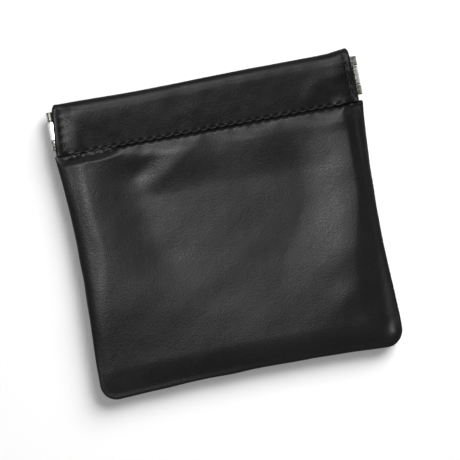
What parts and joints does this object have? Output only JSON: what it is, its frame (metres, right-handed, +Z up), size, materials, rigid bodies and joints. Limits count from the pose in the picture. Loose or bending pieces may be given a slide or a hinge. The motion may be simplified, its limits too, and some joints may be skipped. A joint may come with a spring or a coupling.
{
  "type": "squeeze pouch",
  "caption": "Flat leather squeeze pouch for small tech accessories; a spring flex frame hinged at both ends of the mouth opens when its ends are pressed.",
  "frame": {"origin": "under the middle of the pouch, on the surface that its back panel lies on", "axes": "+X along the mouth to the right, +Y from the bottom seam to the mouth, +Z up out of the front panel"},
  "size_m": [0.1036, 0.0984, 0.008],
  "materials": {
    "panel_leather": "black smooth-grain faux leather, semi-matt",
    "band_leather": "black smooth-grain faux leather, semi-matt",
    "seam_backing": "black knitted backing",
    "spring_steel": "bare spring steel",
    "plated_steel": "nickel-plated rolled steel",
    "pin_steel": "plain steel pin"
  },
  "bodies": {
    "back": {"back_panel": "panel_leather", "back_band": "band_leather", "back_spring_strip": "spring_steel", "bottom_seam": "seam_backing"},
    "left_side": {"left_side_seam": "seam_backing", "left_pin": "pin_steel", "back_left_lower_knuckle": "plated_steel", "back_left_upper_knuckle": "plated_steel"},
    "front": {"front_panel": "panel_leather", "front_band": "band_leather", "front_spring_strip": "spring_steel"},
    "right_seam": {"right_side_seam": "seam_backing"},
    "right_side": {"right_pin": "pin_steel", "back_right_knuckle": "plated_steel"},
    "front_left_hinge": {"front_left_knuckle": "plated_steel"},
    "front_right_hinge": {"front_right_lower_knuckle": "plated_steel", "front_right_upper_knuckle": "plated_steel"}
  },
  "joints": [
    {"name": "left_side_swing", "type": "hinge", "parent": "back", "child": "left_side", "pos_m": [-0.0506, -0.0492, 0.004], "axis": [0.9815, 0, -0.1913], "range_deg": [0, 9.95]},
    {"name": "mouth_opening", "type": "hinge", "parent": "left_side", "child": "front", "pos_m": [-0.0506, -0.0492, 0.004], "axis": [0.9815, 0.0324, 0.1885], "range_deg": [0, 9.93], "stiffness_Nm_per_rad": 0.3, "springref_deg": -8.59},
    {"name": "right_seam_swing", "type": "hinge", "parent": "front", "child": "right_seam", "pos_m": [0.0506, -0.0492, 0.004], "axis": [-0.9815, 0.0324, 0.1885], "range_deg": [0, 9.95]},
    {"name": "right_side_swing", "type": "hinge", "parent": "back", "child": "right_side", "pos_m": [0.0506, -0.0492, 0.004], "axis": [0.9815, 0, 0.1913], "range_deg": [0, 9.95]},
    {"name": "left_pin_hinge", "type": "hinge", "parent": "left_side", "child": "front_left_hinge", "pos_m": [-0.0506, 0.04065, 0.004], "axis": [0, -1, 0], "range_deg": [0, 24.1]},
    {"name": "right_pin_hinge", "type": "hinge", "parent": "right_side", "child": "front_right_hinge", "pos_m": [0.0506, 0.04065, 0.004], "axis": [0, 1, 0], "range_deg": [0, 24.1]}
  ],
  "couplings": [
    {"joint": "left_side_swing", "follows": "mouth_opening", "ratio": 1.0002},
    {"joint": "right_side_swing", "follows": "mouth_opening", "ratio": 1.0002},
    {"joint": "right_seam_swing", "follows": "mouth_opening", "ratio": 1},
    {"joint": "left_pin_hinge", "follows": "mouth_opening", "ratio": 2.4165},
    {"joint": "right_pin_hinge", "follows": "mouth_opening", "ratio": 2.4165}
  ]
}
